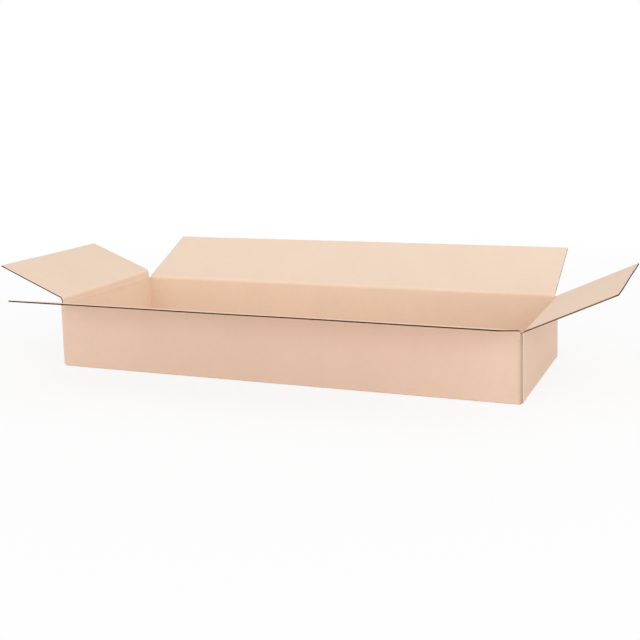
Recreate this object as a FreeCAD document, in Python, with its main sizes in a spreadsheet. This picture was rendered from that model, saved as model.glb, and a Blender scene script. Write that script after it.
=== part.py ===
"""Long, low corrugated shipping carton, set up and standing open.

The carton is one sheet of single-wall board, 3 mm thick, folded round four
upright folds and glued at the near right corner. The eight flaps are cut in
the same sheet: the four lower ones are folded shut and held by paper tape, and
the four upper ones swing on their creases, each about the outer edge of the
wall below it.

Frame: X runs along the length, -Y is the front, +Z is up, and the origin is the
centre of the underside, where the tape meets what the carton stands on.
Lengths are in millimetres and angles in degrees.
"""

import FreeCAD, Part

import os

import Sketcher

SIZES = [
    ("box_length", 1100.0, "outside length"),
    ("box_width", 400.0, "outside width"),
    ("box_height", 150.0, "underside of the board to the upper long crease"),
    ("board", 3.0, "thickness of the corrugated board"),
    ("flap_reach", 199.6, "crease to free edge, the same on all eight flaps"),
    ("slot_half", 6.5, "side edge of a flap to the corner beside it"),
    ("fold_inner", 0.3, "inner radius of a fold, and the play between layers"),
    ("crease_gap", 0.3, "half of the gap between wall and flap at a crease"),
    ("crease_out", 0.1, "how far a crease's axis stands off the wall"),
    ("lap_width", 36.0, "glued lap, seen from inside"),
    ("lap_bare", 0.4, "lap left bare between the front wall's raw end and the fold"),
    ("seam_gap", 1.0, "gap where the two long lower flaps meet"),
    ("tape_width", 60.0, "width of the paper tape under the carton"),
    ("tape_thick", 0.2, "thickness of the paper tape"),
    ("tape_short", 2.0, "how far the tape stops short of the seam's end"),
    ("flute_pitch", 6.4, "length of one wave of the fluted middle"),
    ("flute_mouth", 9.0, "depth to which the flutes are open"),
    ("liner", 0.4, "thickness of the facing papers"),
    ("medium", 0.3, "thickness of the fluted paper, measured along the edge"),
    ("front_open", 12.5, "front flap above level"),
    ("back_open", 24.5, "back flap above level"),
    ("left_open", 26.0, "left flap above level"),
    ("right_open", 24.5, "right flap above level"),
]

# Sizes that follow from the ones above.
DERIVED = [
    ("half_length", "box_length / 2", "centre to an end wall's outer face"),
    ("half_width", "box_width / 2", "centre to a long wall's outer face"),
    ("fold_outer", "board + fold_inner", "outer radius of a fold"),
    ("under_long", "tape_thick", "underside of the long lower flaps"),
    ("under_short", "under_long + board + fold_inner", "underside of the short lower flaps"),
    ("crease_long", "under_long + box_height", "height of the long upper creases"),
    ("crease_short", "crease_long - board - fold_inner", "height of the short upper creases"),
    ("slot_floor", "crease_short - crease_gap", "height at which the upper slots end"),
    ("long_span", "box_length - 2 * slot_half", "long flap, side edge to side edge"),
    ("short_span", "box_width - 2 * slot_half", "short flap, side edge to side edge"),
]


def fill_sheet(doc):
    """Write the driving sizes and the ones that follow from them, one to a row."""
    sheet = doc.addObject("Spreadsheet::Sheet", "Sizes")
    for row, (name, value, note) in enumerate(SIZES, start=1):
        sheet.set(f"A{row}", name)
        sheet.set(f"B{row}", str(value))
        sheet.set(f"C{row}", note)
        sheet.setAlias(f"B{row}", name)
    for row, (name, formula, note) in enumerate(DERIVED, start=len(SIZES) + 1):
        sheet.set(f"A{row}", name)
        sheet.set(f"B{row}", "=" + formula)
        sheet.set(f"C{row}", note)
        sheet.setAlias(f"B{row}", name)
    doc.recompute()
    return sheet


def of_sheet(formula):
    """Put the sheet's name before each of its words in a formula."""
    words = sorted((name for name, _, _ in SIZES + DERIVED), key=len, reverse=True)
    out, rest = "", formula
    while rest:
        word = next((w for w in words if rest.startswith(w)), None)
        out += "Sizes." + word if word else rest[0]
        rest = rest[len(word):] if word else rest[1:]
    return out


def new_body(doc, name):
    """Start a sub-part that bears its own label."""
    body = doc.addObject("PartDesign::Body", name)
    body.Label = name
    return body


def plane_sketch(body, role, name, offset=None):
    """Start a sketch on one of the body's own origin planes, moved along its normal."""
    sketch = body.newObject("Sketcher::SketchObject", name)
    plane = next(f for f in body.Origin.OriginFeatures if f.Role == role)
    sketch.AttachmentSupport = (plane, [""])
    sketch.MapMode = "FlatFace"
    if offset:
        sketch.setExpression("AttachmentOffset.Base.z", of_sheet(offset))
    body.Document.recompute()
    return sketch


def outline(sketch, spots, rounds=None):
    """Draw a closed outline through spots; rounds gives the centre and radius of round sides."""
    rounds = rounds or {}
    places = [[sketch.evalExpression(of_sheet(f)) for f in spot] for spot in spots]
    vectors = [FreeCAD.Vector(float(x), float(y), 0) for x, y in places]
    sides = []
    for n, start in enumerate(vectors):
        end = vectors[(n + 1) % len(vectors)]
        if n in rounds:
            sides.append(add_arc(sketch, start, end, rounds[n]))
        else:
            sides.append((sketch.addGeometry(Part.LineSegment(start, end)), 1, 2))
    for n, spot in enumerate(spots):
        side, first, _ = sides[n]
        before, _, last = sides[n - 1]
        sketch.addConstraint(Sketcher.Constraint("Coincident", before, last, side, first))
        bind(sketch, "DistanceX", (-1, 1, side, first), vectors[n].x, spot[0])
        bind(sketch, "DistanceY", (-1, 1, side, first), vectors[n].y, spot[1])


def add_arc(sketch, start, end, centre_and_radius):
    """Add the quarter round from start to end, and say which of its ends is which."""
    centre_x, centre_y, radius = centre_and_radius
    centre = FreeCAD.Vector(
        float(sketch.evalExpression(of_sheet(centre_x))),
        float(sketch.evalExpression(of_sheet(centre_y))),
        0,
    )
    size = float(sketch.evalExpression(of_sheet(radius)))
    forward = (start - centre).cross(end - centre).z > 0
    first, second = (start, end) if forward else (end, start)
    angles = [FreeCAD.Vector(1, 0, 0).getAngle(p - centre) for p in (first, second)]
    angles = [a if (p - centre).y >= 0 else -a for a, p in zip(angles, (first, second))]
    circle = Part.Circle(centre, FreeCAD.Vector(0, 0, 1), size)
    side = sketch.addGeometry(Part.ArcOfCircle(circle, angles[0], angles[1]))
    bind(sketch, "Radius", (side,), size, radius)
    return (side, 1, 2) if forward else (side, 2, 1)


def bind(sketch, kind, places, value, formula):
    """Add a measured constraint and tie it to the sheet."""
    number = sketch.addConstraint(Sketcher.Constraint(kind, *places, value))
    sketch.setExpression(f"Constraints[{number}]", of_sheet(formula))


def pad(body, sketch, name, length, symmetric=False):
    """Thicken a sketch along its normal, or half to each side."""
    feature = body.newObject("PartDesign::Pad", name)
    feature.Profile = sketch
    if symmetric:
        feature.SideType = "Symmetric"
    feature.setExpression("Length", of_sheet(length))
    body.Document.recompute()
    return feature


def pocket(body, sketch, name, length, symmetric=False, forward=False):
    """Cut a sketch out of the body, and make sure that something was cut."""
    before = body.Shape.Volume
    feature = body.newObject("PartDesign::Pocket", name)
    feature.Profile = sketch
    feature.Reversed = forward
    feature.Refine = not forward
    if symmetric:
        feature.SideType = "Symmetric"
    feature.setExpression("Length", of_sheet(length))
    body.Document.recompute()
    if body.Shape.Volume >= before:
        raise RuntimeError(f"{name} cuts nothing")
    return feature


def both_sides(spots, rounds=None):
    """Give an outline and its mirror image across the second axis of the sketch."""
    rounds = rounds or {}
    mirrored = [(f"-({x})", y) for x, y in spots]
    return [
        (spots, rounds),
        (mirrored, {n: (f"-({x})", y, size) for n, (x, y, size) in rounds.items()}),
    ]


def carton_wall_ring(body):
    """Four walls from one strip, ending in a lap that is glued inside the front wall."""
    sketch = plane_sketch(body, "XY_Plane", "wall_ring_outline", "under_short")
    fold = ("half_length - fold_outer", "half_width - fold_outer")
    outer = [
        ("-half_length + fold_outer", "-half_width"),
        ("half_length - fold_outer - lap_bare", "-half_width"),
        ("half_length - fold_outer - lap_bare", "-half_width + board"),
        ("half_length - fold_outer", "-half_width + board"),
        ("half_length", "-half_width + board + fold_outer"),
        ("half_length", "half_width - fold_outer"),
        ("half_length - fold_outer", "half_width"),
        ("-half_length + fold_outer", "half_width"),
        ("-half_length", "half_width - fold_outer"),
        ("-half_length", "-half_width + fold_outer"),
    ]
    outer_rounds = {
        3: (fold[0], "-half_width + board + fold_outer", "fold_outer"),
        5: (fold[0], fold[1], "fold_outer"),
        7: ("-(half_length - fold_outer)", fold[1], "fold_outer"),
        9: ("-(half_length - fold_outer)", "-(half_width - fold_outer)", "fold_outer"),
    }
    inner = [
        ("half_length - board", "-half_width + board + fold_outer"),
        ("half_length - board", "half_width - fold_outer"),
        ("half_length - fold_outer", "half_width - board"),
        ("-half_length + fold_outer", "half_width - board"),
        ("-half_length + board", "half_width - fold_outer"),
        ("-half_length + board", "-half_width + fold_outer"),
        ("-half_length + fold_outer", "-half_width + board"),
        ("half_length - fold_outer - lap_width", "-half_width + board"),
        ("half_length - fold_outer - lap_width", "-half_width + 2 * board"),
        ("half_length - fold_outer", "-half_width + 2 * board"),
    ]
    inner_rounds = {
        1: (fold[0], fold[1], "fold_inner"),
        3: ("-(half_length - fold_outer)", fold[1], "fold_inner"),
        5: ("-(half_length - fold_outer)", "-(half_width - fold_outer)", "fold_inner"),
        9: (fold[0], "-half_width + board + fold_outer", "fold_inner"),
    }
    outline(sketch, outer, outer_rounds)
    outline(sketch, inner, inner_rounds)
    pad(body, sketch, "wall_ring", "slot_floor - under_short")


def carton_long_folds(body):
    """Long lower flaps, and the top of the long walls, bevelled for their creases."""
    sketch = plane_sketch(body, "YZ_Plane", "long_fold_outline")
    lower = [
        ("half_width", "under_short + board"),
        ("half_width", "under_long + fold_outer"),
        ("half_width - fold_outer", "under_long"),
        ("seam_gap / 2", "under_long"),
        ("seam_gap / 2", "under_long + board"),
        ("half_width - fold_outer", "under_long + board"),
        ("half_width - board", "under_long + fold_outer"),
        ("half_width - board", "under_short + board"),
    ]
    centre = ("half_width - fold_outer", "under_long + fold_outer")
    lower_rounds = {1: (*centre, "fold_outer"), 5: (*centre, "fold_inner")}
    upper = [
        ("half_width", "slot_floor - board"),
        ("half_width", "crease_long - crease_gap"),
        ("half_width - board", "crease_long - crease_gap - board"),
        ("half_width - board", "slot_floor - board"),
    ]
    for spots, rounds in both_sides(lower, lower_rounds) + both_sides(upper):
        outline(sketch, spots, rounds)
    pad(body, sketch, "long_folds", "long_span", symmetric=True)


def carton_short_folds(body):
    """Short lower flaps, inside the long ones, with a rounded fold under each end wall."""
    sketch = plane_sketch(body, "XZ_Plane", "short_fold_outline")
    plate = [
        ("half_length - board", "under_short"),
        ("half_length - flap_reach", "under_short"),
        ("half_length - flap_reach", "under_short + board"),
        ("half_length - fold_outer", "under_short + board"),
        ("half_length - board", "under_short + fold_outer"),
    ]
    centre = ("half_length - fold_outer", "under_short + fold_outer")
    for spots, rounds in both_sides(plate, {3: (*centre, "fold_inner")}):
        outline(sketch, spots, rounds)
    pad(body, sketch, "short_folds", "short_span", symmetric=True)

    sketch = plane_sketch(body, "XZ_Plane", "short_round_outline")
    outside = [
        ("half_length + board", "under_short - fold_inner / 2"),
        ("half_length + board", "under_short + fold_outer"),
        ("half_length", "under_short + fold_outer"),
        ("half_length - fold_outer", "under_short"),
        ("half_length - fold_outer", "under_short - fold_inner / 2"),
    ]
    for spots, rounds in both_sides(outside, {2: (*centre, "fold_outer")}):
        outline(sketch, spots, rounds)
    pocket(body, sketch, "short_rounds", "short_span", symmetric=True)


def carton_short_bevels(body):
    """Bevel on the top of each end wall, so that its flap can fold inward."""
    sketch = plane_sketch(body, "XZ_Plane", "short_bevel_outline")
    bevel = [
        ("half_length + board", "slot_floor + board"),
        ("half_length - 2 * board", "slot_floor - 2 * board"),
        ("half_length - 2 * board", "slot_floor + board"),
    ]
    for spots, rounds in both_sides(bevel):
        outline(sketch, spots, rounds)
    pocket(body, sketch, "short_bevels", "short_span", symmetric=True)


def make_carton_body(doc):
    """The folded sheet: walls, glued lap and closed lower flaps."""
    body = new_body(doc, "carton_body")
    carton_wall_ring(body)
    carton_long_folds(body)
    carton_short_folds(body)
    carton_short_bevels(body)
    return body


def make_flap(doc, name, span):
    """An upper flap, drawn level, with its crease's axis along X and its free edge at +Y."""
    body = new_body(doc, name)
    sketch = plane_sketch(body, "YZ_Plane", name + "_outline")
    outline(sketch, [
        ("crease_gap", "crease_out"),
        ("flap_reach", "crease_out"),
        ("flap_reach", "crease_out + board"),
        ("crease_gap + board", "crease_out + board"),
    ])
    pad(body, sketch, name + "_sheet", span, symmetric=True)

    sketch = plane_sketch(body, "XZ_Plane", name + "_flute_outline", "-flap_reach")
    first = f"-({span}) / 2 + flute_pitch / 4"
    low = "crease_out + liner"
    high = "crease_out + board - liner"
    outline(sketch, [
        (f"{first} + medium", low),
        (f"{first} + flute_pitch - medium", low),
        (f"{first} + flute_pitch / 2", f"{high} - medium"),
    ])
    outline(sketch, [
        (f"{first} + flute_pitch / 2 + medium", high),
        (f"{first} + flute_pitch * 3 / 2 - medium", high),
        (f"{first} + flute_pitch", f"{low} + medium"),
    ])
    mouth = pocket(body, sketch, name + "_flute", "flute_mouth", forward=True)

    flutes = body.newObject("PartDesign::LinearPattern", name + "_flutes")
    flutes.Originals = [mouth]
    flutes.Direction = (sketch, ["H_Axis"])
    flutes.Refine = False
    count = f"floor(({span}) / flute_pitch) - 1"
    flutes.setExpression("Occurrences", of_sheet(count))
    flutes.setExpression("Length", of_sheet(f"({count} - 1) * flute_pitch"))
    body.Tip = flutes
    doc.recompute()
    return body


def make_tape(doc):
    """Paper tape over the seam of the long lower flaps."""
    body = new_body(doc, "bottom_tape")
    sketch = plane_sketch(body, "XY_Plane", "bottom_tape_outline")
    end = "(long_span / 2 - tape_short)"
    side = "tape_width / 2"
    outline(sketch, [
        (f"-{end}", f"-{side}"),
        (end, f"-{side}"),
        (end, side),
        (f"-{end}", side),
    ])
    pad(body, sketch, "bottom_tape_sheet", "tape_thick")
    return body


def place_flap(body, across, along, height, turn, lift):
    """Set a flap's axis on its crease, turned to its side and lifted to its open angle."""
    body.setExpression("Placement.Base.x", of_sheet(across))
    body.setExpression("Placement.Base.y", of_sheet(along))
    body.setExpression("Placement.Base.z", of_sheet(height))
    angle = float(body.evalExpression(of_sheet(lift)))
    body.Placement = FreeCAD.Placement(
        body.Placement.Base,
        FreeCAD.Rotation(turn, 0, angle),
    )


def write_parts(doc, bodies):
    """Check every object and shape, then write each sub-part to its own file."""
    for item in doc.Objects:
        if "Invalid" in item.State or "Error" in item.State:
            raise RuntimeError(f"{item.Name} failed: {item.State}")
    for body in bodies:
        if body.Shape.isNull() or not body.Shape.isValid():
            raise RuntimeError(f"{body.Label} has no valid shape")
        if len(body.Shape.Solids) != 1:
            raise RuntimeError(f"{body.Label} is not one solid")
    os.makedirs("parts", exist_ok=True)
    for body in bodies:
        body.Shape.exportStep(f"parts/{body.Label}.step")
        print(body.Label, round(body.Shape.Volume), "mm3", body.Shape.BoundBox)


def main():
    doc = FreeCAD.newDocument("open_carton")
    fill_sheet(doc)
    carton = make_carton_body(doc)
    tape = make_tape(doc)
    front = make_flap(doc, "front_flap", "long_span")
    back = make_flap(doc, "back_flap", "long_span")
    left = make_flap(doc, "left_flap", "short_span")
    right = make_flap(doc, "right_flap", "short_span")
    long_axis = "half_width + crease_out"
    short_axis = "half_length + crease_out"
    place_flap(front, "0", f"-({long_axis})", "crease_long", 180, "front_open")
    place_flap(back, "0", long_axis, "crease_long", 0, "back_open")
    place_flap(left, f"-({short_axis})", "0", "crease_short", 90, "left_open")
    place_flap(right, short_axis, "0", "crease_short", -90, "right_open")
    doc.recompute()
    write_parts(doc, [carton, tape, front, back, left, right])


main()
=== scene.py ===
import math

import bpy
import numpy as np
from mathutils import Matrix, Vector


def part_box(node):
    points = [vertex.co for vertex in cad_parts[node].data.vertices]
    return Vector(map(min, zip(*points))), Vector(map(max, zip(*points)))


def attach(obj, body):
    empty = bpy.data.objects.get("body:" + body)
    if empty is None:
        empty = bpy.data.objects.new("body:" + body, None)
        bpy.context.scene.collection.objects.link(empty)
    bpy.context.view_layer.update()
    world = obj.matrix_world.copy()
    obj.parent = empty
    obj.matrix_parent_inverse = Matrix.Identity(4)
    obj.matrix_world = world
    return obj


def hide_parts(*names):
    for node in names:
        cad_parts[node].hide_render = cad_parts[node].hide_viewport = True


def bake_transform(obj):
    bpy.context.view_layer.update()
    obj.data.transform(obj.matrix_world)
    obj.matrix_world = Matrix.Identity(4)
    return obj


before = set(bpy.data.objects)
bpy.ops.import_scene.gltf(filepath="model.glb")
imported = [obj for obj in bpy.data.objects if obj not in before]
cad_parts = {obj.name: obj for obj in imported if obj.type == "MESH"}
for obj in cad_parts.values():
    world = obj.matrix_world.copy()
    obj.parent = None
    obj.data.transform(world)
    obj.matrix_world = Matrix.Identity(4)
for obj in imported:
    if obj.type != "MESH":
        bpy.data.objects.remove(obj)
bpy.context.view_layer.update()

bl_info = {
    "name": "Open Corrugated Carton",
    "version": (1, 0, 0),
    "blender": (4, 5, 0),
    "location": "3D Viewport > Sidebar > Carton",
    "description": "Long, low carton of single-wall board, standing open on its closed bottom",
    "category": "Object",
}

WALL_LOW, WALL_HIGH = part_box("carton_body")

OUTER, INNER, CUT, FLUTING_IN_PAINTED_SHADE = 0, 1, 2, 3
TAPE_FACE, TAPE_EDGE = 0, 1
PLACE = "board_place"
# Attribute of pressed paper with painted highlight at folds, and of painted shade at the front
# wall's glued end.
PRESSING_AND_PAINTED_LIGHT = "pressing_and_painted_light"

# Sockets of a Mix node that mixes colours.
MIX_FACTOR, MIX_FIRST, MIX_SECOND, MIX_RESULT = 0, 6, 7, 2

# How far the papers over a crease reach on to the flap, and down from a short crease.
FLAP_PAPER = 0.012
WALL_PAPER = 0.0129

# How far the inner paper's pattern lies from the outer one's, so that they differ.
INNER_APART = 3.0

# Closer places near the side edges of a panel.
SIDE_STEPS = (0.0006, 0.002, 0.005)

# Depth to which the hollow along a side edge is modelled.
SIDE_HOLLOW = 0.0022

# Points along one wave of the fluted paper, and how far it ends behind the facing papers.
WAVE_POINTS = 12
WAVE_INSET = 0.0002

# Raggedness of an edge that is cut across the flutes.
RAGGED = 0.00012

# Width of the strip of painted shade along the front wall's glued end, and how dark it gets.
END_SHADE_WIDTH = 0.013
END_SHADE_DARK = 4.6

# Width over which that end is tucked in below its crease, and how far.
TUCK_WIDTH = 0.012
TUCK = 0.0006

# How far a crease's axis is off the wall, and how far the slots end below a short crease.
CREASE_OUT = 0.0001
CREASE_GAP = 0.0003

# Width over which a flap that bends goes from one slope to the other.
BEND_WIDTH = 0.006

# Play when two places on the sheet are compared.
TINY = 1e-7

# How far each wall stands out of flat, and in how many waves.
WALL_SWELL = {
    "right": (-0.0006, 1), "back": (0.0008, 2), "left": (0.0005, 1), "front": (0.0009, 3)
}

# How far each upper flap is warped. Each warp has one sign, so that closed flaps don't cross.
FLAP_WARP = {"front": -0.0009, "back": -0.0012, "left": 0.0011, "right": 0.0012}


def length_of(name, about, default):
    """A length that the user can change, in metres."""
    return bpy.props.FloatProperty(
        name=name, description=about, default=default, unit="LENGTH", precision=5
    )


def angle_of(name, about, degrees):
    """An angle that the user can change."""
    return bpy.props.FloatProperty(
        name=name, description=about, default=math.radians(degrees), subtype="ANGLE"
    )


def share_of(name, about, default):
    """A share from 0 to 1."""
    return bpy.props.FloatProperty(
        name=name, description=about, default=default, min=0.0, max=1.0, subtype="FACTOR"
    )


def power_of(name, about, default):
    """A lamp's power, in watts."""
    return bpy.props.FloatProperty(
        name=name, description=about, default=default, min=0.0, unit="POWER"
    )


def colour_of(name, about, default):
    """A colour, in linear light."""
    return bpy.props.FloatVectorProperty(
        name=name, description=about, default=default, size=3, min=0.0, max=1.0, subtype="COLOR"
    )


class CartonSizes(bpy.types.PropertyGroup):
    """Sizes of the carton's board, creases and flaps."""

    length: length_of("Length", "Outside length", round(WALL_HIGH.x - WALL_LOW.x, 4))
    width: length_of("Width", "Outside width", round(WALL_HIGH.y - WALL_LOW.y, 4))
    crease_height: length_of("Crease Height", "Height of the long upper creases", 0.1502)
    board: length_of("Board", "Thickness of the board", 0.003)
    liner: length_of("Liner", "Thickness of the facing papers", 0.0004)
    medium: length_of("Fluting", "Thickness of the fluted paper", 0.0003)
    pitch: length_of("Flute Pitch", "Length of one wave of the fluted paper", 0.0064)
    mouth: length_of("Flute Mouth", "Depth to which the open flutes are modelled", 0.009)
    reach: length_of("Flap Reach", "Crease to free edge of a flap", 0.1996)
    slot: length_of("Slot", "Side edge of a flap to the corner beside it", 0.0065)
    fold: length_of("Fold Radius", "Inner radius of a fold", 0.0003)
    lap: length_of("Glued Lap", "Width of the lap inside the near right corner", 0.036)
    lap_over: length_of("Front Wall End", "Front wall's end past the start of the fold", 0.0012)
    seam: length_of("Seam", "Gap where the long lower flaps meet", 0.001)
    tape: length_of("Tape Thickness", "Thickness of the tape under the carton", 0.0002)
    front_open: angle_of("Front Flap", "Front flap above level", 12.5)
    back_open: angle_of("Back Flap", "Back flap above level", 24.5)
    right_open: angle_of("Right Flap", "Right flap above level", 24.5)
    left_root: angle_of("Left Flap Root", "Left flap's slope where it leaves its crease", 85.0)
    left_near: length_of("Left Bend, Near", "Crease to the near end of the flap's bend", 0.0155)
    left_far: length_of("Left Bend, Far", "Crease to the far end of the flap's bend", 0.0194)
    left_near_slope: angle_of("Left Slope, Near", "Flap's near side edge past its bend", 22.2)
    left_far_slope: angle_of("Left Slope, Far", "Flap's far side edge past its bend", 21.5)


class CartonFinish(bpy.types.PropertyGroup):
    """Colours and surface detail of the papers."""

    outer: colour_of("Outer Paper", "Outside facing paper", (0.785, 0.585, 0.46))
    # The inner paper is partly a paler liner and partly painted light: lightened to stand in for
    # light on the faces inside the carton.
    inner: colour_of("Inner Paper", "Inside facing paper", (0.86, 0.675, 0.53))
    # The cut edge colour is partly the darker raw fibres and partly painted shade: darkened to
    # stand in for the shade in the flutes and in the groove at the near corner.
    cut: colour_of("Cut Edge", "Cut edges of the papers", (0.36, 0.20, 0.11))
    # Painted shade: the fluted paper and the faces inside the flutes are coloured near black for
    # the shade in them. The paper itself is brown kraft.
    painted_shade_fluting: colour_of("Fluting In Painted Shade", "Fluted paper inside the board", (0.115, 0.040, 0.010))
    tape: colour_of("Tape", "Paper tape under the carton", (0.66, 0.44, 0.29))
    mottle: share_of("Mottling", "Cloudiness of the paper", 0.35)
    flecks: share_of("Flecks", "Darker fibres in the paper", 0.30)
    flute_show: share_of("Flute Show", "How far the flutes show through the paper", 0.35)


class CartonStudio(bpy.types.PropertyGroup):
    """Camera, lamps and floor."""

    floor: colour_of("Floor", "Colour of the floor", (0.90, 0.90, 0.90))
    ambient: bpy.props.FloatProperty(
        name="Ambient", description="Strength of the surrounding light", default=0.78, min=0.0
    )
    key: power_of("Key Lamp", "Power of the large lamp in front", 60.0)
    side: power_of("Right Lamp", "Power of the lamp to the right", 34.0)
    top: power_of("Top Lamp", "Power of the lamp above", 8.0)
    place: bpy.props.FloatVectorProperty(
        name="Camera Place", description="Where the camera stands",
        default=(0.9586, -2.2236, 0.6191), size=3, subtype="TRANSLATION", unit="LENGTH"
    )
    azimuth: angle_of("Azimuth", "Camera direction round the carton", 22.491)
    elevation: angle_of("Elevation", "Camera direction above level", 7.735)
    tilt: angle_of("Roll", "Camera roll", -1.518)
    lens: bpy.props.FloatProperty(
        name="Lens", description="Focal length for a sensor 36 mm wide", default=58.97,
        unit="CAMERA"
    )
    shift: bpy.props.FloatProperty(
        name="Shift", description="Upward shift as a share of the width", default=-0.125
    )


def flat_flap(slope):
    """Both side edges of a flat upper flap: slope at the crease, slope beyond it, and no bend."""
    return [(slope, slope, 0.0), (slope, slope, 0.0)]


class Side:
    """One side of the carton: its wall, lower flap, crease and upper flap."""

    def __init__(self, sizes, name, heading, out, half, other, crease, under, start, ends):
        self.name = name
        self.heading = heading
        self.out = out
        self.half = half
        self.span = other - 2 * sizes.slot
        self.crease = crease
        self.under = under
        self.middle = start + other / 2 - sizes.board - sizes.fold
        self.ends = ends

    def place(self, across, out, up):
        """World places of points given across the side, outward from the middle, and up."""
        hx, hy = self.heading
        ox, oy = self.out
        return np.stack([hx * across + ox * out, hy * across + oy * out, up + 0 * across], -1)


class Carton:
    """Sizes that follow from the driving ones, and the four sides."""

    def __init__(self, sizes):
        self.sizes = sizes
        self.radius = sizes.board + sizes.fold
        self.arc = self.radius * math.pi / 2
        self.half_x = sizes.length / 2
        self.half_y = sizes.width / 2
        self.long_crease = sizes.crease_height
        self.short_crease = sizes.crease_height - self.radius
        self.slot_floor = self.short_crease - CREASE_GAP
        self.under_long = sizes.tape
        self.under_short = sizes.tape + self.radius
        self.join = self.short_crease - WALL_PAPER
        long_run = sizes.length - 2 * self.radius
        short_run = sizes.width - 2 * self.radius
        runs = [sizes.lap, self.arc, short_run - sizes.board, self.arc, long_run, self.arc,
                short_run, self.arc]
        self.starts = [sum(runs[:count]) for count in range(len(runs) + 1)]
        self.end = self.starts[8] + long_run + sizes.lap_over
        bent = [
            (sizes.left_root, sizes.left_far_slope, sizes.left_far),
            (sizes.left_root, sizes.left_near_slope, sizes.left_near),
        ]
        right = Side(sizes, "right", (0, 1), (1, 0), self.half_x, sizes.width, self.short_crease,
                     self.under_short, self.starts[2] - sizes.board,
                     flat_flap(sizes.right_open))
        back = Side(sizes, "back", (-1, 0), (0, 1), self.half_y, sizes.length, self.long_crease,
                    self.under_long, self.starts[4], flat_flap(sizes.back_open))
        left = Side(sizes, "left", (0, -1), (-1, 0), self.half_x, sizes.width, self.short_crease,
                    self.under_short, self.starts[6], bent)
        front = Side(sizes, "front", (1, 0), (0, -1), self.half_y, sizes.length, self.long_crease,
                     self.under_long, self.starts[8], flat_flap(sizes.front_open))
        self.sides = {"right": right, "back": back, "left": left, "front": front}

    def swell(self, around, up):
        """How far the walls stand in or out of flat, and the tucked end of the front wall."""
        total = np.zeros(np.broadcast(around, up).shape)
        foot, fade = 0.012, 0.010
        rise = np.clip((up - foot) / (self.join - foot), 0, 1)
        height = np.sin(math.pi * rise) ** 2
        for name, (size, waves) in WALL_SWELL.items():
            side = self.sides[name]
            share = np.clip((around - side.middle) / side.span + 0.5, 0, 1)
            hump = np.sin(math.pi * share) ** 2
            total = total + size * height * hump * (1 + 0.4 * np.sin(2 * math.pi * waves * share))
        ease = np.clip((self.join - up) / fade, 0, 1)
        ease = ease * ease * (3 - 2 * ease)
        tuck = np.clip((around - (self.end - TUCK_WIDTH)) / TUCK_WIDTH, 0, 1)
        return total - TUCK * ease * tuck**2

    def painted_end_shade(self, around):
        """Painted shade: how far the front wall is darkened towards its glued raw end."""
        share = np.clip((around - self.end + END_SHADE_WIDTH) / END_SHADE_WIDTH, 0, 1)
        return -END_SHADE_DARK * share**2.4

    def ring_spot(self, around, up, depth):
        """Place of a point of the wall ring, by its distance along the sheet."""
        around, up, depth = np.broadcast_arrays(around, up, depth)
        hx, hy, r, lap_y = self.half_x, self.half_y, self.radius, self.sizes.board
        cx, cy = hx - r, hy - r
        near = -cy + lap_y
        runs = [
            ((cx - self.sizes.lap, -hy + lap_y), (1, 0)),
            ((cx, near), -math.pi / 2),
            ((hx, near), (0, 1)),
            ((cx, cy), 0.0),
            ((cx, hy), (-1, 0)),
            ((-cx, cy), math.pi / 2),
            ((-hx, cy), (0, -1)),
            ((-cx, -cy), math.pi),
            ((-cx, -hy), (1, 0)),
        ]
        limits = self.starts + [self.end]
        depth = depth - self.swell(around, up)
        x, y = np.zeros(around.shape), np.zeros(around.shape)
        for number, (spot, way) in enumerate(runs):
            low, high = limits[number], limits[number + 1]
            here = (around >= low - TINY) & (around <= high + TINY)
            run = np.clip(around - low, 0, high - low)
            if isinstance(way, tuple):
                px = spot[0] + way[0] * run - way[1] * depth
                py = spot[1] + way[1] * run + way[0] * depth
            else:
                turn = way + run / r
                px = spot[0] + (r - depth) * np.cos(turn)
                py = spot[1] + (r - depth) * np.sin(turn)
            x, y = np.where(here, px, x), np.where(here, py, y)
        return np.stack([x, y, up + 0 * x], -1)

    def wall_spot(self, side):
        """Places on a wall and on the lower flap that continues it, turned in at the bottom."""
        r, fold_top = self.radius, side.under + self.radius

        def spot(across, along, depth):
            across, along, depth = np.broadcast_arrays(across, along, depth)
            depth = depth - self.swell(across + side.middle, along)
            turn = np.clip((fold_top - along) / r, 0, math.pi / 2)
            flat = np.clip(fold_top - self.arc - along, 0, None)
            out = side.half - r + (r - depth) * np.cos(turn) - flat
            up = fold_top - (r - depth) * np.sin(turn) + np.clip(along - fold_top, 0, None)
            return side.place(across, out, up)

        return spot

    def flap_line(self, end):
        """Line of an upper flap's outer face from its crease: steps, outs, ups and slopes."""
        root, slope, bend_at = end
        steps = np.linspace(0, self.sizes.reach + 0.002, 800)
        share = np.clip((steps - bend_at + BEND_WIDTH / 2) / BEND_WIDTH, 0, 1)
        slopes = root + (slope - root) * share * share * (3 - 2 * share)
        pace = np.diff(steps, prepend=0)
        return steps, np.cumsum(np.cos(slopes) * pace), np.cumsum(np.sin(slopes) * pace), slopes

    def on_flap(self, end, along, height):
        """Outward and upward place, from the crease, of a point of an upper flap."""
        steps, outs, ups, slopes = self.flap_line(end)
        slope = np.interp(along, steps, slopes)
        out = np.interp(along, steps, outs) - height * np.sin(slope)
        return out, np.interp(along, steps, ups) + height * np.cos(slope)

    def flap_spot(self, side, warp, seed):
        """Places on an upper flap, with the slight warp of a flap that hangs free."""
        phases = np.random.default_rng(seed).uniform(0, 2 * math.pi, 3)

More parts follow.
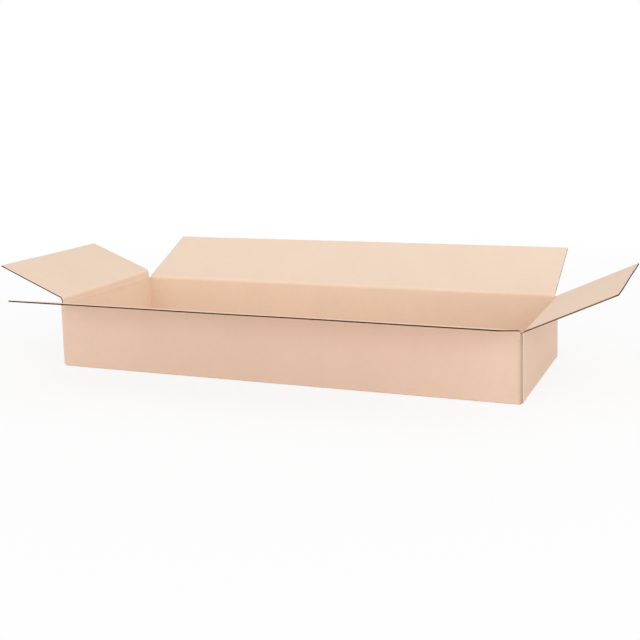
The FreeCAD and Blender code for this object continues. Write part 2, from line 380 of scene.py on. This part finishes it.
        def spot(across, along, depth):
            across, along, depth = np.broadcast_arrays(across, along, depth)
            share = across / side.span
            lift = np.clip((along - FLAP_PAPER) / (self.sizes.reach - FLAP_PAPER), 0, 1.1)
            waves = [np.sin(2 * math.pi * k * share + phases[k - 1]) / k for k in (1, 2, 3)]
            height = depth + CREASE_OUT + warp * lift**1.6 * (0.5 + 0.27 * sum(waves))
            low = self.on_flap(side.ends[0], along, height)
            high = self.on_flap(side.ends[1], along, height)
            out = low[0] + (high[0] - low[0]) * (share + 0.5)
            up = low[1] + (high[1] - low[1]) * (share + 0.5)
            return side.place(across, side.half + CREASE_OUT + out, side.crease + up)

        return spot


class BoardMesh:
    """Gathers the surfaces of one piece of board before they become a mesh."""

    def __init__(self, sizes, shift=0.0):
        self.sizes = sizes
        self.shift = shift
        self.pressing_and_painted_light_at = None
        self.points, self.places, self.pressing_and_painted_light = [], [], []
        self.faces, self.papers = [], []
        self.count = 0

    def surface(self, spot, across, along, depth, paper, turned=False):
        """Add a surface through the grid of across, along and depth."""
        across, along, depth = np.broadcast_arrays(across, along, depth)
        rows, columns = across.shape
        self.points.append(spot(across, along, depth).reshape(-1, 3))
        apart = INNER_APART if paper == INNER else 0.0
        place = np.stack([across + self.shift, along + depth + apart], -1)
        self.places.append(place.reshape(-1, 2))
        # Per point: lighter at folds (pressed paper and painted highlight), painted shade at the
        # front wall's glued end.
        pressing_and_painted_light = self.pressing_and_painted_light_at(across, along) if self.pressing_and_painted_light_at else np.zeros(across.shape)
        self.pressing_and_painted_light.append((pressing_and_painted_light + np.zeros(across.shape)).reshape(-1))
        index = np.arange(rows * columns).reshape(rows, columns) + self.count
        quads = np.stack([index[:-1, :-1], index[1:, :-1], index[1:, 1:], index[:-1, 1:]], -1)
        quads = quads.reshape(-1, 4)
        self.faces.append(quads[:, ::-1] if turned else quads)
        self.papers.append(np.full(len(quads), paper))
        self.count += rows * columns

    def panel(self, spot, across, along, sides=(), ends=(), side_rows=None):
        """Add both papers of a panel, its sides cut along the flutes and its ends cut across."""
        low = along[0] + (self.sizes.mouth if "low" in ends else 0)
        high = along[-1] - (self.sizes.mouth if "high" in ends else 0)
        rows = np.unique(np.clip(along, low, high))
        self.surface(spot, across[:, None], rows[None, :], 0.0, OUTER)
        self.surface(spot, across[:, None], rows[None, :], self.sizes.board, INNER, True)
        for which in sides:
            self.cut_side(spot, across, along if side_rows is None else side_rows, which)
        for which in ends:
            self.cut_end(spot, across, along, which)

    def cut_side(self, spot, across, along, which):
        """Cut along the flutes: two paper rims with a dark hollow between them."""
        liner, board = self.sizes.liner, self.sizes.board
        rows = along[None, :]
        forward = which == "high"
        edge = across[-1] if forward else across[0]
        back = edge - SIDE_HOLLOW if forward else edge + SIDE_HOLLOW
        strip = np.array(sorted([edge, back]))[:, None]
        for a, b in ((0, liner), (board - liner, board)):
            self.surface(spot, edge, rows, np.array([[a], [b]]), CUT, not forward)
        # The faces inside the hollow are painted dark as shade.
        self.surface(spot, strip, rows, liner, FLUTING_IN_PAINTED_SHADE, True)
        self.surface(spot, strip, rows, board - liner, FLUTING_IN_PAINTED_SHADE)
        hollow = np.array([[liner], [board - liner]])
        self.surface(spot, back, rows, hollow, CUT, not forward)

    def cut_end(self, spot, across, along, which):
        """Cut across the flutes: both papers, and the wave of fluted paper between them."""
        sizes = self.sizes
        forward = which == "high"
        sign = 1 if forward else -1
        edge = along[-1] if forward else along[0]
        back = edge - sign * sizes.mouth
        count = max(2, int(round((across[-1] - across[0]) / sizes.pitch * WAVE_POINTS)))
        fine = np.unique(np.concatenate([across, np.linspace(across[0], across[-1], count)]))
        chance = np.random.default_rng(int(abs(self.shift) * 1e4) + count)
        rough = np.convolve(chance.normal(0, RAGGED, len(fine) + 4), np.ones(5) / 5, "valid")
        reach = (edge + sign * np.minimum(rough, 0.0))[:, None]
        a = fine[:, None]
        share = np.array([[0.0, 1.0]])
        rows = back + (reach - back) * share
        liner, board = sizes.liner, sizes.board
        self.surface(spot, a, rows, 0.0, OUTER, not forward)
        # The faces inside the flutes and the wave between them are painted dark as shade.
        self.surface(spot, a, rows, liner, FLUTING_IN_PAINTED_SHADE, forward)
        self.surface(spot, a, rows, board - liner, FLUTING_IN_PAINTED_SHADE, not forward)
        self.surface(spot, a, rows, board, INNER, forward)
        for n0, n1 in ((0, liner), (board - liner, board)):
            self.surface(spot, a, reach, np.array([[n0, n1]]), CUT, not forward)
        swing = (board - 2 * liner - sizes.medium) / 2
        angle = 2 * math.pi * (fine + self.shift) / sizes.pitch
        slope = swing * 2 * math.pi / sizes.pitch * np.cos(angle)
        half = sizes.medium / 2 * np.sqrt(1 + slope**2)
        line = board / 2 + swing * np.sin(angle)
        under = np.clip(line - half, liner, board - liner)[:, None]
        over = np.clip(line + half, liner, board - liner)[:, None]
        inset = edge - sign * WAVE_INSET
        rows = np.array([[back, inset]])
        self.surface(spot, a, rows, under, FLUTING_IN_PAINTED_SHADE, not forward)
        self.surface(spot, a, rows, over, FLUTING_IN_PAINTED_SHADE, forward)
        self.surface(spot, a, inset, under + (over - under) * share, CUT, not forward)
        hollow = np.array([[liner, board - liner]])
        self.surface(spot, across[:, None], back, hollow, FLUTING_IN_PAINTED_SHADE, not forward)

    def strip(self, profiles, side, across, paper):
        """Add a folded paper strip from its sections, outward and upward, at its two ends."""
        profiles = [np.array(profile) for profile in profiles]
        middle = (profiles[0] + profiles[1]) / 2
        run = np.concatenate([[0], np.cumsum(np.linalg.norm(np.diff(middle, axis=0), axis=1))])
        way = np.gradient(middle, axis=0)
        way /= np.linalg.norm(way, axis=1)[:, None]
        inward = np.stack([-way[:, 1], way[:, 0]], -1) * (1 if paper == OUTER else -1)

        def spot(a, s, n):
            share = a / side.span + 0.5
            place = []
            for axis in (0, 1):
                low, high = (np.interp(s, run, profile[:, axis]) for profile in profiles)
                place.append(low + (high - low) * share + n * np.interp(s, run, inward[:, axis]))
            return side.place(a, place[0], place[1])

        liner = self.sizes.liner
        front, hidden = (False, True) if paper == OUTER else (True, False)
        self.surface(spot, across[:, None], run[None, :], 0.0, paper, front)
        self.surface(spot, across[:, None], run[None, :], liner, paper, hidden)
        for edge, flip in ((across[0], True), (across[-1], False)):
            self.surface(spot, edge, run[None, :], np.array([[0], [liner]]), CUT, flip)

    def build(self, name, papers):
        """Turn what was gathered into an object."""
        points = np.concatenate(self.points)
        faces = np.concatenate(self.faces)
        mesh = bpy.data.meshes.new(name)
        mesh.from_pydata(points.tolist(), [], faces.tolist())
        for paper in papers:
            mesh.materials.append(paper)
        mesh.polygons.foreach_set("material_index", np.concatenate(self.papers).astype(np.int32))
        corners = np.zeros(len(mesh.loops), np.int32)
        mesh.loops.foreach_get("vertex_index", corners)
        layer = mesh.uv_layers.new(name=PLACE)
        places = np.concatenate(self.places)[corners]
        layer.uv.foreach_set("vector", places.astype(np.float32).ravel())
        # The attribute carries pressed paper with painted highlight at folds, and painted shade
        # at the glued end.
        pressing_and_painted_light = mesh.attributes.new(PRESSING_AND_PAINTED_LIGHT, "FLOAT", "POINT")
        pressing_and_painted_light.data.foreach_set("value", np.concatenate(self.pressing_and_painted_light).astype(np.float32))
        mesh.shade_smooth()
        mesh.update()
        item = bpy.data.objects.new(name, mesh)
        bpy.context.scene.collection.objects.link(item)
        return item


def spread(low, high, size, ends=()):
    """Evenly spaced places from low to high, with the given closer ones near both ends."""
    count = max(1, int(round((high - low) / size)))
    places = [low + e for e in ends] + [high - e for e in ends]
    return np.unique(np.concatenate([np.linspace(low, high, count + 1), places]))


def pressed_light_and_end_shade(distance, reach, strength):
    """How far paper is lightened at a distance from the middle of a fold, a bend or a crease:
    partly pressed paper, partly painted highlight.
    """
    return np.clip(strength - np.abs(distance) / reach, 0, 1)


def bend(first, corner, last, count):
    """Points on a smooth bend from first to last, drawn towards corner."""
    t = np.linspace(0, 1, count)[:, None]
    first, corner, last = (np.array(p, float) for p in (first, corner, last))
    return (1 - t) ** 2 * first + 2 * t * (1 - t) * corner + t**2 * last


def add(tree, kind, label=None, **settings):
    """Add a node and set its properties and unlinked inputs."""
    node = tree.nodes.new(kind)
    if label:
        node.label = label
    for key, value in settings.items():
        if key in node.bl_rna.properties:
            setattr(node, key, value)
        else:
            node.inputs[key.replace("_", " ")].default_value = value
    return node


def maths(tree, operation, first, second=None, third=None):
    """Add a maths node fed by sockets or numbers."""
    node = tree.nodes.new("ShaderNodeMath")
    node.operation = operation
    for number, value in enumerate((first, second, third)):
        if value is None:
            continue
        if isinstance(value, (int, float)):
            node.inputs[number].default_value = value
        else:
            tree.links.new(value, node.inputs[number])
    return node.outputs[0]


def paper_group():
    """Kraft paper over flutes: mottling, fibres, flecks, the faint lines of the flutes, and
    painted highlight and shade.
    """
    name = "kraft_paper"
    if name in bpy.data.node_groups:
        return bpy.data.node_groups[name]
    tree = bpy.data.node_groups.new(name, "ShaderNodeTree")
    ports = tree.interface
    ports.new_socket("Place", in_out="INPUT", socket_type="NodeSocketVector")
    ports.new_socket("Paper", in_out="INPUT", socket_type="NodeSocketColor")
    for label, default in (
        ("Mottling", 0.35), ("Flecks", 0.3), ("Flutes", 0.35), ("Pitch", 0.0064), ("Pressing And Painted Light", 0.0)
    ):
        port = ports.new_socket(label, in_out="INPUT", socket_type="NodeSocketFloat")
        port.default_value = default
    ports.new_socket("Color", in_out="OUTPUT", socket_type="NodeSocketColor")
    ports.new_socket("Height", in_out="OUTPUT", socket_type="NodeSocketFloat")
    ports.new_socket("Roughness", in_out="OUTPUT", socket_type="NodeSocketFloat")
    given = tree.nodes.new("NodeGroupInput").outputs
    result = tree.nodes.new("NodeGroupOutput")
    link = tree.links.new

    split = add(tree, "ShaderNodeSeparateXYZ")
    link(given["Place"], split.inputs[0])
    turns = maths(tree, "DIVIDE", split.outputs[0], given["Pitch"])
    wave = maths(tree, "SINE", maths(tree, "MULTIPLY", turns, 2 * math.pi))

    def noise(label, stretch, scale, detail, rough):
        stretched = add(tree, "ShaderNodeVectorMath", operation="MULTIPLY")
        stretched.inputs[1].default_value = (stretch[0], stretch[1], 1)
        link(given["Place"], stretched.inputs[0])
        node = add(
            tree, "ShaderNodeTexNoise", label=label,
            Scale=scale, Detail=detail, Roughness=rough
        )
        link(stretched.outputs[0], node.inputs["Vector"])
        return maths(tree, "SUBTRACT", node.outputs["Fac"], 0.5)

    clouds = noise("clouds", (1, 0.7), 9.0, 3.0, 0.55)
    patches = noise("patches", (1, 1), 70.0, 3.0, 0.6)
    streaks = noise("streaks", (60, 900), 1.0, 3.0, 0.6)
    fibres = noise("fibres", (1, 1), 1400.0, 3.0, 0.7)
    specks = noise("specks", (500, 1500), 1.0, 2.0, 0.5)

    cloudy = maths(tree, "MULTIPLY_ADD", patches, 0.6, clouds)
    cloudy = maths(tree, "MULTIPLY", cloudy, given["Mottling"])
    lines = maths(tree, "MULTIPLY", maths(tree, "ADD", streaks, fibres), 0.10)
    show = maths(tree, "MULTIPLY", maths(tree, "MULTIPLY", wave, given["Flutes"]), 0.018)
    bright = maths(tree, "ADD", maths(tree, "MULTIPLY", cloudy, 0.22), lines)
    bright = maths(tree, "ADD", bright, show)
    # Lighter where the attribute is above zero: pressed paper and painted highlight at folds.
    # Darker below zero: painted shade at the glued end.
    bright = maths(tree, "ADD", bright, maths(tree, "MULTIPLY", given["Pressing And Painted Light"], 0.05))
    bright = maths(tree, "ADD", bright, 1.0)
    scaled = add(tree, "ShaderNodeVectorMath", operation="SCALE")
    link(given["Paper"], scaled.inputs[0])
    link(bright, scaled.inputs["Scale"])

    mask = add(tree, "ShaderNodeMapRange", label="dark fibres", From_Min=0.20, From_Max=0.27)
    link(specks, mask.inputs["Value"])
    # Painted shade at the front wall's glued end, multiplied in with the same colour as the fibre
    # flecks.
    pressed_light_and_end_shade = maths(tree, "MAXIMUM", maths(tree, "MULTIPLY", given["Pressing And Painted Light"], -0.13), 0.0)
    amount = maths(tree, "MULTIPLY_ADD", mask.outputs[0], given["Flecks"], pressed_light_and_end_shade)
    darker = add(tree, "ShaderNodeMix", data_type="RGBA", blend_type="MULTIPLY")
    darker.inputs[MIX_SECOND].default_value = (0.62, 0.52, 0.45, 1)
    link(amount, darker.inputs[MIX_FACTOR])
    link(scaled.outputs[0], darker.inputs[MIX_FIRST])
    link(darker.outputs[MIX_RESULT], result.inputs["Color"])

    deep = maths(tree, "MULTIPLY", maths(tree, "MULTIPLY", wave, given["Flutes"]), 0.00008)
    grain = maths(tree, "MULTIPLY", maths(tree, "ADD", fibres, streaks), 0.00005)
    dents = maths(tree, "MULTIPLY", patches, 0.00012)
    height = maths(tree, "ADD", maths(tree, "ADD", deep, grain), dents)
    link(height, result.inputs["Height"])
    dull = maths(tree, "ADD", maths(tree, "MULTIPLY", fibres, 0.2), 0.82)
    link(dull, result.inputs["Roughness"])
    return tree


def paper_finish(name, colour, mottling, flecks, flutes, pitch, gloss=0.28):
    """A paper finish from the shared group."""
    if name in bpy.data.materials:
        return bpy.data.materials[name]
    made = bpy.data.materials.new(name)
    made.use_nodes = True
    made.diffuse_color = (*colour, 1)
    tree = made.node_tree
    shader = tree.nodes["Principled BSDF"]
    shader.inputs["Specular IOR Level"].default_value = gloss
    place = add(tree, "ShaderNodeUVMap", uv_map=PLACE)
    pressing_and_painted_light = add(tree, "ShaderNodeAttribute", attribute_name=PRESSING_AND_PAINTED_LIGHT)
    group = tree.nodes.new("ShaderNodeGroup")
    group.node_tree = paper_group()
    group.inputs["Paper"].default_value = (*colour, 1)
    group.inputs["Mottling"].default_value = mottling
    group.inputs["Flecks"].default_value = flecks
    group.inputs["Flutes"].default_value = flutes
    group.inputs["Pitch"].default_value = pitch
    bump = add(tree, "ShaderNodeBump", Strength=1.0, Distance=1.0)
    link = tree.links.new
    link(place.outputs[0], group.inputs["Place"])
    link(pressing_and_painted_light.outputs["Fac"], group.inputs["Pressing And Painted Light"])
    link(group.outputs["Color"], shader.inputs["Base Color"])
    link(group.outputs["Roughness"], shader.inputs["Roughness"])
    link(group.outputs["Height"], bump.inputs["Height"])
    link(bump.outputs[0], shader.inputs["Normal"])
    return made


def board_papers(scene):
    """The four papers of the board, in the order of their numbers."""
    finish, pitch = scene.carton_finish, scene.carton_sizes.pitch
    faced = (finish.mottle, finish.flecks, finish.flute_show, pitch)
    return [
        paper_finish("outer_paper", finish.outer, *faced),
        paper_finish("inner_paper", finish.inner, *faced),
        paper_finish("cut_paper", finish.cut, 0.6, 0.6, 0.0, pitch, gloss=0.0),
        # The fluted paper's colour is painted shade.
        paper_finish("fluting_painted_shade", finish.painted_shade_fluting, 0.6, 0.5, 0.0, pitch, gloss=0.0),
    ]


class CARTON_OT_walls(bpy.types.Operator):
    """Folded sheet: four walls, upright folds, glued lap and closed lower flaps"""

    bl_idname = "carton.walls"
    bl_label = "Walls and Lower Flaps"

    def execute(self, context):
        sizes = context.scene.carton_sizes
        carton = Carton(sizes)
        board = BoardMesh(sizes)
        self.corners(carton, board)
        for side in carton.sides.values():
            self.wall(carton, side, board)
        item = board.build("carton_sheet", board_papers(context.scene))
        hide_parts("carton_body")
        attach(item, "carton")
        return {"FINISHED"}

    def corners(self, carton, board):
        """Add the upright folds between the slots, the lap and the front wall's raw end."""
        starts, gap, overlap = carton.starts, carton.sizes.slot - carton.radius, 0.0002
        heights = spread(carton.under_short, carton.slot_floor, 0.012)
        lengths = [
            (starts[0], starts[2] + overlap, ("low",)),
            (starts[3] - gap, starts[4] + gap, ()),
            (starts[5] - gap, starts[6] + gap, ()),
            (starts[7] - gap, starts[8] + gap, ()),
            (carton.end - carton.sizes.lap_over - gap, carton.end, ("high",)),
        ]
        folds = [starts[n] + carton.arc / 2 for n in (1, 3, 5, 7)]

        def pressing_and_painted_light_at(across, along):
            near = np.min([np.abs(across - f) for f in folds], axis=0)
            # Lighter at the upright folds (pressed paper and painted highlight), painted shade at
            # the glued end.
            return pressed_light_and_end_shade(near, carton.arc / 1.6, 1.4) + carton.painted_end_shade(across)

        board.pressing_and_painted_light_at = pressing_and_painted_light_at
        for low, high, sides in lengths:
            across = spread(low, high, 0.0006)
            board.panel(carton.ring_spot, across, heights, sides, ("low", "high"))
        board.pressing_and_painted_light_at = None

    def wall(self, carton, side, board):
        """Add a wall with the lower flap that it turns into."""
        spot = carton.wall_spot(side)
        half = side.span / 2
        fold_top = side.under + carton.radius
        if side.name in ("front", "back"):
            flat = side.half - carton.radius - carton.sizes.seam / 2
        else:
            flat = carton.sizes.reach - carton.radius
        free = fold_top - carton.arc - flat
        along = np.unique(np.concatenate([
            spread(free, fold_top - carton.arc, 0.014),
            np.linspace(fold_top - carton.arc, fold_top, 9),
            spread(fold_top, carton.join, 0.009),
        ]))
        across = spread(-half, half, 0.010, SIDE_STEPS)

        def pressing_and_painted_light_at(a, s):
            from_fold = s - (fold_top - carton.arc / 2)
            # Lighter at the bottom fold (pressed paper and painted highlight), painted shade at
            # the glued end.
            return pressed_light_and_end_shade(from_fold, 0.003, 1.3) + carton.painted_end_shade(a + side.middle)

        board.shift = side.middle
        board.pressing_and_painted_light_at = pressing_and_painted_light_at
        low = along[along <= fold_top + TINY]
        board.panel(spot, across, along, ("low", "high"), ("low",), low)
        board.shift, board.pressing_and_painted_light_at = 0.0, None


class CARTON_OT_flaps(bpy.types.Operator):
    """Four upper flaps, each with open flutes at its free edge"""

    bl_idname = "carton.flaps"
    bl_label = "Upper Flaps"

    def execute(self, context):
        sizes = context.scene.carton_sizes
        carton = Carton(sizes)
        papers = board_papers(context.scene)
        for number, side in enumerate(carton.sides.values()):
            board = BoardMesh(sizes, side.middle)
            board.pressing_and_painted_light_at = self.bend_line(side)
            half = side.span / 2
            across = spread(-half, half, 0.010, SIDE_STEPS)
            past_bend = 0.030
            along = np.union1d(spread(FLAP_PAPER, past_bend, 0.0015),
                               spread(past_bend, sizes.reach, 0.009))
            spot = carton.flap_spot(side, FLAP_WARP[side.name], number + 3)
            board.panel(spot, across, along, ("low", "high"), ("high",))
            item = board.build(f"{side.name}_flap_sheet", papers)
            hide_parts(f"{side.name}_flap")
            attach(item, f"{side.name}_flap")
        return {"FINISHED"}

    def bend_line(self, side):
        """How far the paper is lightened along a flap's bend, where it has one: partly pressed
        paper, partly painted highlight.
        """
        places = [bend_at for _, _, bend_at in side.ends]
        if max(places) == 0:
            return None

        def pressing_and_painted_light_at(across, along):
            line = np.interp(across, (-side.span / 2, side.span / 2), places)
            return pressed_light_and_end_shade(along - line, 0.0035, 1.4)

        return pressing_and_painted_light_at


class CARTON_OT_creases(bpy.types.Operator):
    """Papers that bend over the four upper creases"""

    bl_idname = "carton.creases"
    bl_label = "Upper Creases"

    def execute(self, context):
        sizes = context.scene.carton_sizes
        carton = Carton(sizes)
        papers = board_papers(context.scene)
        for side in carton.sides.values():
            self.crease(carton, side, papers)
        return {"FINISHED"}

    def crease(self, carton, side, papers):
        """Add the outer and the inner paper of one crease."""
        outer, inner = zip(*(self.sections(carton, side, end) for end in side.ends))
        half = side.span / 2
        across = spread(-half, half, 0.020)
        axis = np.array((side.half + CREASE_OUT, side.crease))
        wall, board = -CREASE_OUT, carton.sizes.board
        steep = side.ends[0][0] > math.radians(45)
        inside = wall - board
        flap = carton.on_flap(side.ends[0], carton.radius, board + CREASE_OUT)
        # The lines between which each paper goes over from the wall to the flap.
        if steep:
            outer_bend = (wall, 0.0), (0.0006, 0.0055)
            inner_bend = (inside, -0.001), (inside + 0.0002, 0.0105)
        else:
            outer_bend = (wall, 0.0), (0.0011, 0.0)
            inner_bend = (inside, -carton.radius), flap
        strips = ((OUTER, "outer", outer, outer_bend), (INNER, "inner", inner, inner_bend))
        for paper, name, profiles, (low, high) in strips:
            strip = BoardMesh(carton.sizes, side.middle)
            if not steep:
                strip.pressing_and_painted_light_at = self.pressed_light_line
            strip.strip(profiles, side, across, paper)
            item = strip.build(f"{side.name}_crease_{name}", papers)
            start, end = (side.place(np.array(0.0), *(axis + place)) for place in (low, high))
            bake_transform(item)

    def pressed_light_line(self, across, along):
        """How far the paper is lightened along the crease: partly pressed paper, partly painted
        highlight.
        """
        return pressed_light_and_end_shade(along - 0.016, 0.006, 1.2)

    def sections(self, carton, side, end):
        """Sections of the outer and the inner paper where the flap leaves the wall."""
        axis = np.array((side.half + CREASE_OUT, side.crease))
        wall, board = -CREASE_OUT, carton.sizes.board
        foot = carton.join - side.crease

        def flap(along, depth):
            return carton.on_flap(end, along, depth + CREASE_OUT)

        outer = np.concatenate([
            [(wall, foot), (wall, foot * 0.6), (wall, foot * 0.3), (wall, -0.0022)],
            bend((wall, -0.0012), (wall, 0.0001), flap(0.0013, 0), 6),
            [flap(s, 0) for s in (0.0025, 0.005, 0.008, FLAP_PAPER)],
        ])
        # How far the inner paper is pinched out of line, and how its bends round off.
        pinched, rounded = 0.0006, 0.4
        inside = wall - board
        low, high = np.array((inside, -carton.radius)), np.array(flap(carton.radius, board))
        chord = high - low
        normal = np.array((-chord[1], chord[0])) / np.linalg.norm(chord)
        pinch = (low + high) / 2 + pinched * normal
        inner = np.concatenate([
            [(inside, foot), (inside, foot * 0.6), (inside, -0.0066)],
            bend((inside, -0.0052), low, low + rounded * (pinch - low), 6),
            [pinch],
            bend(high + rounded * (pinch - high), high, flap(0.0056, board), 6),
            [flap(0.0085, board), flap(FLAP_PAPER, board)],
        ])
        return axis + outer, axis + inner


class CARTON_OT_tape(bpy.types.Operator):
    """Paper tape under the seam of the long lower flaps"""

    bl_idname = "carton.tape"
    bl_label = "Bottom Tape"

    def execute(self, context):
        sizes = context.scene.carton_sizes
        low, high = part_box("bottom_tape")
        board = BoardMesh(sizes)
        across = spread(low.x, high.x, 0.008, (0.0008, 0.003))
        along = spread(low.y, high.y, 0.006, (0.0006,))
        chance = np.random.default_rng(12)
        ragged = np.interp(across, np.linspace(low.x, high.x, 90), chance.uniform(0, 0.0004, 90))

        def spot(a, s, n):
            a, s, n = np.broadcast_arrays(a, s, n)
            trim = np.interp(a, across, ragged)
            y = np.clip(s, low.y + trim, high.y - trim)
            return np.stack([a, y, low.z + n], -1)

        thick = high.z - low.z
        a, s = across[:, None], along[None, :]
        board.surface(spot, a, s, 0.0, TAPE_FACE, True)
        board.surface(spot, a, s, thick, TAPE_FACE)
        rim = np.array([[0.0, thick]])
        board.surface(spot, a, low.y, rim, TAPE_EDGE)
        board.surface(spot, a, high.y, rim, TAPE_EDGE, True)
        board.surface(spot, low.x, s, rim.T, TAPE_EDGE, True)
        board.surface(spot, high.x, s, rim.T, TAPE_EDGE)
        finish = context.scene.carton_finish
        papers = [
            paper_finish("tape_paper", finish.tape, 0.5, 0.35, 0.25, 0.0042),
            paper_finish("tape_edge", [c * 0.8 for c in finish.tape], 0.5, 0.3, 0.0, 0.0042),
        ]
        item = board.build("tape_strip", papers)
        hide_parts("bottom_tape")
        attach(item, "carton")
        return {"FINISHED"}


class CARTON_OT_studio(bpy.types.Operator):
    """Pale floor, soft light and the camera"""

    bl_idname = "carton.studio"
    bl_label = "Studio"

    def execute(self, context):
        scene = context.scene
        studio = scene.carton_studio
        scene.view_settings.view_transform = "Standard"
        self.floor(scene, studio)
        self.world(scene, studio)
        for name, place, size, power in (
            ("key_lamp", (-0.6, -4.2, 0.75), 2.4, studio.key),
            ("right_lamp", (3.9, -0.8, 1.6), 2.2, studio.side),
            ("top_lamp", (0.2, -0.9, 3.3), 2.8, studio.top),
        ):
            self.lamp(name, place, size, power)
        self.camera(scene, studio)
        return {"FINISHED"}

    def seen(self, tree):
        """Rays that see the surroundings as a picture, not as light."""
        path = tree.nodes.new("ShaderNodeLightPath").outputs
        first = maths(tree, "MAXIMUM", path["Is Camera Ray"], path["Is Glossy Ray"])
        return maths(tree, "MAXIMUM", first, path["Is Transmission Ray"])

    def floor(self, scene, studio):
        """A wide floor that keeps the shadow and fades into the white backdrop."""
        mesh = bpy.data.meshes.new("studio_floor")
        edge, low = 40.0, -0.0005
        mesh.from_pydata(
            [(-edge, -edge, low), (edge, -edge, low), (edge, edge, low), (-edge, edge, low)],
            [],
            [(0, 1, 2, 3)],
        )
        item = bpy.data.objects.new("studio_floor", mesh)
        scene.collection.objects.link(item)
        made = bpy.data.materials.new("floor_finish")
        made.use_nodes = True
        tree = made.node_tree
        shader = tree.nodes["Principled BSDF"]
        shader.inputs["Base Color"].default_value = (*studio.floor, 1)
        shader.inputs["Roughness"].default_value = 1.0
        shader.inputs["Specular IOR Level"].default_value = 0.0
        white = add(tree, "ShaderNodeEmission", Color=(1, 1, 1, 1), Strength=1.0)
        place = add(tree, "ShaderNodeTexCoord")
        far = add(tree, "ShaderNodeVectorMath", operation="LENGTH")
        tree.links.new(place.outputs["Object"], far.inputs[0])
        fade = add(
            tree, "ShaderNodeMapRange", interpolation_type="SMOOTHSTEP",
            From_Min=0.8, From_Max=2.6, To_Min=0.84, To_Max=1.0
        )
        tree.links.new(far.outputs["Value"], fade.inputs["Value"])
        amount = maths(tree, "MULTIPLY", self.seen(tree), fade.outputs[0])
        mix = tree.nodes.new("ShaderNodeMixShader")
        tree.links.new(amount, mix.inputs[0])
        tree.links.new(shader.outputs[0], mix.inputs[1])
        tree.links.new(white.outputs[0], mix.inputs[2])
        tree.links.new(mix.outputs[0], tree.nodes["Material Output"].inputs["Surface"])
        mesh.materials.append(made)

    def world(self, scene, studio):
        """Even white light, with a plain white backdrop where it is seen."""
        world = bpy.data.worlds.new("studio_world")
        world.use_nodes = True
        tree = world.node_tree
        shader = tree.nodes["Background"]
        shader.inputs["Color"].default_value = (1, 1, 1, 1)
        shader.inputs["Strength"].default_value = studio.ambient
        white = add(tree, "ShaderNodeBackground", Color=(1, 1, 1, 1), Strength=1.0)
        mix = tree.nodes.new("ShaderNodeMixShader")
        tree.links.new(self.seen(tree), mix.inputs[0])
        tree.links.new(shader.outputs[0], mix.inputs[1])
        tree.links.new(white.outputs[0], mix.inputs[2])
        tree.links.new(mix.outputs[0], tree.nodes["World Output"].inputs["Surface"])
        scene.world = world

    def lamp(self, name, place, size, power):
        """A large soft lamp aimed at the carton."""
        data = bpy.data.lights.new(name, "AREA")
        data.shape = "SQUARE"
        data.size = size
        data.energy = power
        item = bpy.data.objects.new(name, data)
        item.location = place
        item.rotation_euler = (-Vector(place)).to_track_quat("-Z", "Y").to_euler()
        bpy.context.scene.collection.objects.link(item)

    def camera(self, scene, studio):
        """The view of the carton from its near right corner."""
        az, el, roll = studio.azimuth, studio.elevation, studio.tilt
        right = Vector((math.cos(az), math.sin(az), 0))
        back = Vector((math.sin(az) * math.cos(el), -math.cos(az) * math.cos(el), math.sin(el)))
        up = back.cross(right)
        x_axis = right * math.cos(roll) + up * math.sin(roll)
        y_axis = up * math.cos(roll) - right * math.sin(roll)
        turn = Matrix((x_axis, y_axis, back)).transposed().to_4x4()
        data = bpy.data.cameras.new("studio_camera")
        data.sensor_width = 36.0
        data.lens = studio.lens
        data.shift_y = studio.shift
        item = bpy.data.objects.new("studio_camera", data)
        item.matrix_world = Matrix.Translation(studio.place) @ turn
        scene.collection.objects.link(item)
        scene.camera = item


class CARTON_PT_panel(bpy.types.Panel):
    """Sidebar panel with the carton's pieces and settings"""

    bl_idname = "CARTON_PT_panel"
    bl_label = "Open Corrugated Carton"
    bl_space_type = "VIEW_3D"
    bl_region_type = "UI"
    bl_category = "Carton"

    def draw(self, context):
        for step in STEPS:
            self.layout.operator(step.bl_idname)
        for group in ("carton_sizes", "carton_finish", "carton_studio"):
            settings = getattr(context.scene, group)
            box = self.layout.box()
            for name in settings.__annotations__:
                box.prop(settings, name)


STEPS = (CARTON_OT_walls, CARTON_OT_flaps, CARTON_OT_creases, CARTON_OT_tape, CARTON_OT_studio)
GROUPS = (CartonSizes, CartonFinish, CartonStudio)


def register():
    for item in (*GROUPS, *STEPS, CARTON_PT_panel):
        bpy.utils.register_class(item)
    bpy.types.Scene.carton_sizes = bpy.props.PointerProperty(type=CartonSizes)
    bpy.types.Scene.carton_finish = bpy.props.PointerProperty(type=CartonFinish)
    bpy.types.Scene.carton_studio = bpy.props.PointerProperty(type=CartonStudio)


def unregister():
    del bpy.types.Scene.carton_studio
    del bpy.types.Scene.carton_finish
    del bpy.types.Scene.carton_sizes
    for item in reversed((*GROUPS, *STEPS, CARTON_PT_panel)):
        bpy.utils.unregister_class(item)


def main():
    register()
    bpy.ops.carton.walls()
    bpy.ops.carton.flaps()
    bpy.ops.carton.creases()
    bpy.ops.carton.tape()
    bpy.ops.carton.studio()
    bpy.context.view_layer.update()


if __name__ == "__main__":
    main()
